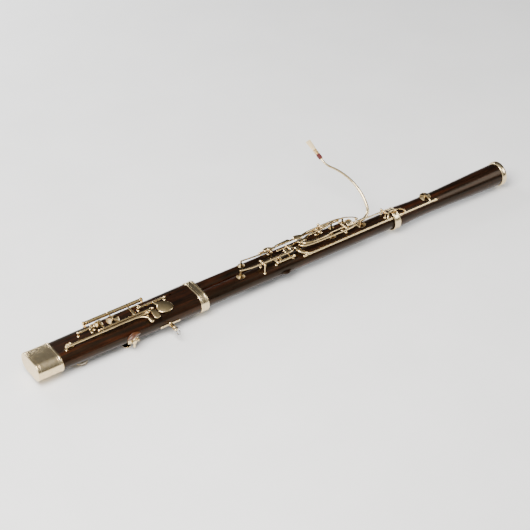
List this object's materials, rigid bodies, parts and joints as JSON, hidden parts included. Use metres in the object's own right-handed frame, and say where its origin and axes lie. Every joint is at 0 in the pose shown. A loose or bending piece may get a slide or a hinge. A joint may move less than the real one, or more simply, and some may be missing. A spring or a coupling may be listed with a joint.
{
  "type": "bassoon",
  "caption": "Dark wooden bassoon in its four joints with curved bocal and double reed, long pale gold levers, hinged keys, turned pad cups, strap ring and hand rest.",
  "frame": {"origin": "centre of the boot cap's flat end face", "axes": "+X along the instrument from the boot cap to the bell, +Z the thumb-key side, +Y the wing joint's side, -Y the long joint's side"},
  "size_m": [1.345, 0.3008, 0.1742],
  "materials": {
    "rosewood": "gloss varnish, red-brown grain in near black",
    "fittings": "polished, pale gold plate",
    "keywork": "polished, pale champagne gold plate",
    "steel": "polished",
    "pad_leather": "matte",
    "cork": "matte cork",
    "thread": "waxed thread",
    "cane": "satin cane",
    "brown_wood": "satin"
  },
  "bodies": {
    "boot": {"boot_joint": "rosewood", "boot_cap": "fittings", "u_tube": "fittings", "u_tube_gasket": "cork", "boot_band": "fittings", "boot_posts": "keywork", "strap_hanger": "keywork", "hand_rest_holder": "keywork"},
    "wing": {"wing_joint": "rosewood", "wing_socket_band": "fittings", "wing_posts": "keywork", "wing_tenon_wrap": "thread"},
    "long": {"long_joint": "rosewood", "long_tenon_wraps": "thread", "long_posts": "keywork"},
    "bell": {"bell_joint": "rosewood", "bell_band": "fittings", "bell_ring": "fittings", "bell_posts": "keywork"},
    "bocal_cork": {"bocal_cork": "cork"},
    "bocal": {"bocal": "fittings"},
    "reed": {"reed_blades": "cane", "reed_binding": "thread"},
    "strap_ring": {"strap_ring": "steel"},
    "hand_rest": {"hand_rest": "brown_wood"},
    "hand_rest_screw": {"hand_rest_screw": "keywork"},
    "b_flat_side_key": {"b_flat_side_key": "keywork"},
    "f_sharp_plate_key": {"f_sharp_plate_key": "keywork"},
    "low_b_flat_lever": {"low_b_flat_lever": "keywork"},
    "b_flat_key": {"b_flat_key": "keywork", "b_flat_pad": "pad_leather"},
    "f_sharp_key": {"f_sharp_key": "keywork", "f_sharp_pad": "pad_leather"},
    "g_sharp_key": {"g_sharp_key": "keywork", "g_sharp_pad": "pad_leather"},
    "low_f_key": {"low_f_key": "keywork", "low_f_pad": "pad_leather"},
    "a_flat_key": {"a_flat_key": "keywork", "a_flat_pad": "pad_leather"},
    "bell_key": {"bell_key": "keywork", "bell_pad": "pad_leather"},
    "low_b_key": {"low_b_key": "keywork", "low_b_pad": "pad_leather"},
    "low_c_key": {"low_c_key": "keywork", "low_c_pad": "pad_leather"},
    "low_c_sharp_key": {"low_c_sharp_key": "keywork", "low_c_sharp_pad": "pad_leather"},
    "low_d_key": {"low_d_key": "keywork", "low_d_pad": "pad_leather"},
    "high_a_key": {"high_a_key": "keywork", "high_a_pad": "pad_leather"},
    "high_c_key": {"high_c_key": "keywork", "high_c_pad": "pad_leather"},
    "high_d_key": {"high_d_key": "keywork", "high_d_pad": "pad_leather"},
    "c_sharp_key": {"c_sharp_key": "keywork", "c_sharp_pad": "pad_leather"},
    "whisper_key": {"whisper_key": "keywork", "whisper_pad": "pad_leather"}
  },
  "joints": [
    {"name": "wing_pull", "type": "slide", "parent": "boot", "child": "wing", "axis": [1, 0, 0], "range_m": [0, 0.037]},
    {"name": "long_pull", "type": "slide", "parent": "boot", "child": "long", "axis": [1, 0, 0], "range_m": [0, 0.04]},
    {"name": "bell_pull", "type": "slide", "parent": "long", "child": "bell", "axis": [1, 0, 0], "range_m": [0, 0.035]},
    {"name": "bocal_pull", "type": "slide", "parent": "wing", "child": "bocal_cork", "axis": [1, 0, 0], "range_m": [0, 0.028]},
    {"name": "bocal_swivel", "type": "hinge", "parent": "bocal_cork", "child": "bocal", "pos_m": [0.88, 0.019, 0], "axis": [1, 0, 0], "range_deg": [-12, 12]},
    {"name": "reed_pull", "type": "slide", "parent": "bocal", "child": "reed", "axis": [-0.1564, 0.8091, 0.5665], "range_m": [0, 0.009]},
    {"name": "strap_ring_swing", "type": "hinge", "parent": "boot", "child": "strap_ring", "pos_m": [0.335, -0.06641, -0.0055], "axis": [0, 0, 1], "range_deg": [-60, 60]},
    {"name": "hand_rest_height", "type": "slide", "parent": "boot", "child": "hand_rest", "axis": [0, 0, 1], "range_m": [-0.005, 0.008]},
    {"name": "hand_rest_screw_turn", "type": "hinge", "parent": "boot", "child": "hand_rest_screw", "pos_m": [0.237, -0.04692, -0.009], "axis": [1, 0, 0], "range_deg": [-180, 180]},
    {"name": "b_flat_side_hinge", "type": "hinge", "parent": "boot", "child": "b_flat_side_key", "pos_m": [0.148, 0.0074, 0.031], "axis": [1, 0, 0], "range_deg": [0, 23]},
    {"name": "b_flat_hinge", "type": "hinge", "parent": "boot", "child": "b_flat_key", "pos_m": [0.24, -0.0116, 0.031], "axis": [1, 0, 0], "range_deg": [0, 7]},
    {"name": "f_sharp_hinge", "type": "hinge", "parent": "boot", "child": "f_sharp_key", "pos_m": [0.232, 0.0365, 0.024], "axis": [1, 0, 0], "range_deg": [-7.5, 0]},
    {"name": "f_sharp_plate_hinge", "type": "hinge", "parent": "boot", "child": "f_sharp_plate_key", "pos_m": [0.315, 0.0065, 0.031], "axis": [1, 0, 0], "range_deg": [0, 6.1]},
    {"name": "g_sharp_hinge", "type": "hinge", "parent": "boot", "child": "g_sharp_key", "pos_m": [0.19, -0.0193, 0.031], "axis": [1, 0, 0], "range_deg": [0, 10]},
    {"name": "low_f_hinge", "type": "hinge", "parent": "boot", "child": "low_f_key", "pos_m": [0.18, 0.001, -0.031], "axis": [1, 0, 0], "range_deg": [-10, 0]},
    {"name": "a_flat_hinge", "type": "hinge", "parent": "boot", "child": "a_flat_key", "pos_m": [0.21, 0.011, -0.031], "axis": [1, 0, 0], "range_deg": [-9, 0]},
    {"name": "low_b_flat_hinge", "type": "hinge", "parent": "long", "child": "low_b_flat_lever", "pos_m": [0.85, -0.041, 0.022], "axis": [1, 0, 0], "range_deg": [-8, 0]},
    {"name": "bell_key_hinge", "type": "hinge", "parent": "bell", "child": "bell_key", "pos_m": [1.06, -0.041, 0.022], "axis": [1, 0, 0], "range_deg": [-8, 0]},
    {"name": "low_b_hinge", "type": "hinge", "parent": "long", "child": "low_b_key", "pos_m": [0.966, -0.019, 0.034], "axis": [0, 1, 0], "range_deg": [-1.9, 0]},
    {"name": "low_c_hinge", "type": "hinge", "parent": "long", "child": "low_c_key", "pos_m": [0.85, -0.016, 0.034], "axis": [0, 1, 0], "range_deg": [-3, 0]},
    {"name": "low_c_sharp_hinge", "type": "hinge", "parent": "long", "child": "low_c_sharp_key", "pos_m": [0.603, -0.025, 0.038], "axis": [0, 1, 0], "range_deg": [0, 3]},
    {"name": "low_d_hinge", "type": "hinge", "parent": "long", "child": "low_d_key", "pos_m": [0.664, -0.034, 0.029], "axis": [1, 0, 0], "range_deg": [-10, 0]},
    {"name": "high_a_hinge", "type": "hinge", "parent": "wing", "child": "high_a_key", "pos_m": [0.79, 0.011, 0.03], "axis": [0, 1, 0], "range_deg": [-3, 0]},
    {"name": "high_c_hinge", "type": "hinge", "parent": "wing", "child": "high_c_key", "pos_m": [0.806, 0.025, 0.03], "axis": [0, 1, 0], "range_deg": [-2.5, 0]},
    {"name": "high_d_hinge", "type": "hinge", "parent": "wing", "child": "high_d_key", "pos_m": [0.7, 0.012, 0.0205], "axis": [0, 1, 0], "range_deg": [-4, 0]},
    {"name": "c_sharp_hinge", "type": "hinge", "parent": "wing", "child": "c_sharp_key", "pos_m": [0.65, 0.013, 0.03], "axis": [0, 1, 0], "range_deg": [0, 2.5]},
    {"name": "whisper_hinge", "type": "hinge", "parent": "wing", "child": "whisper_key", "pos_m": [0.76, 0.038, 0.012], "axis": [1, 0, 0], "range_deg": [0, 7.5]}
  ],
  "couplings": [
    {"joint": "b_flat_side_hinge", "follows": "b_flat_hinge", "ratio": 3.28},
    {"joint": "f_sharp_plate_hinge", "follows": "f_sharp_hinge", "ratio": -0.81},
    {"joint": "bell_key_hinge", "follows": "low_b_flat_hinge", "ratio": 1}
  ]
}
